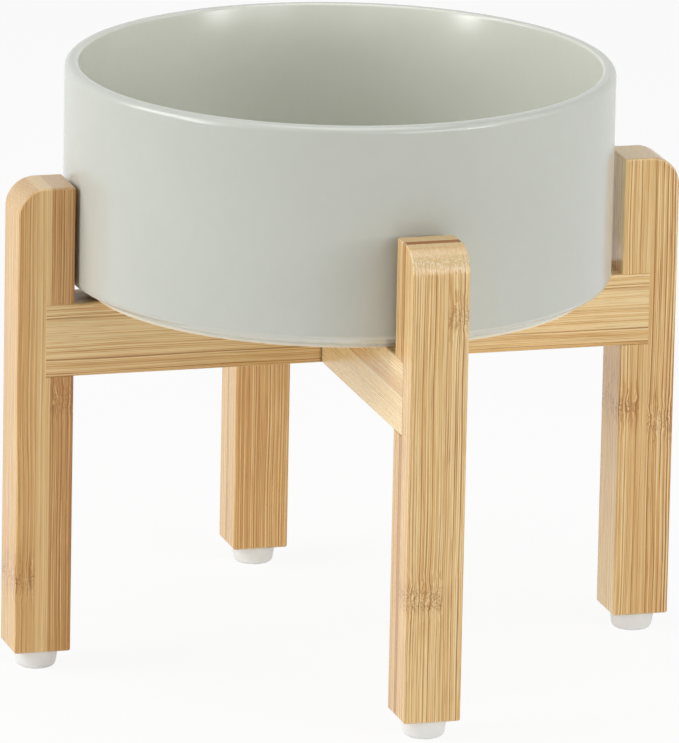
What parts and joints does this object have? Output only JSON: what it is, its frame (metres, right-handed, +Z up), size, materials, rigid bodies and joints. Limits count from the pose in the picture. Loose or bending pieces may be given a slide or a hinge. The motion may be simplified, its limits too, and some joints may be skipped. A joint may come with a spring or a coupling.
{
  "type": "elevated dog bowl",
  "caption": "Straight-sided glazed ceramic pet bowl lifted off the floor by a bamboo stand of square legs and crossed bars; the bowl lifts out and the stand comes apart at its half-lap.",
  "frame": {"origin": "on the floor, under the point where the crossbars meet", "axes": "+Z up, +X from the left leg to the right leg, +Y from the front leg to the back leg"},
  "size_m": [0.2368, 0.2368, 0.2092],
  "materials": {
    "bowl_glaze": "satin sage-grey glaze",
    "bamboo": "laminated bamboo, clear satin finish",
    "glide_plastic": "moulded white plastic",
    "nail_steel": "bright steel"
  },
  "bodies": {
    "lower_frame": {"crossbar_lower": "bamboo", "leg_left": "bamboo", "dowel_left": "bamboo", "foot_left": "glide_plastic", "foot_nail_left": "nail_steel", "leg_right": "bamboo", "dowel_right": "bamboo", "foot_right": "glide_plastic", "foot_nail_right": "nail_steel"},
    "upper_frame": {"crossbar_upper": "bamboo", "leg_front": "bamboo", "dowel_front": "bamboo", "foot_front": "glide_plastic", "foot_nail_front": "nail_steel", "leg_back": "bamboo", "dowel_back": "bamboo", "foot_back": "glide_plastic", "foot_nail_back": "nail_steel"},
    "bowl_body": {"bowl": "bowl_glaze"}
  },
  "joints": [
    {"name": "frame_lift", "type": "slide", "parent": "lower_frame", "child": "upper_frame", "axis": [0, 0, 1], "range_m": [0, 0.08]},
    {"name": "bowl_lift", "type": "slide", "parent": "upper_frame", "child": "bowl_body", "axis": [0, 0, 1], "range_m": [0, 0.06]}
  ]
}
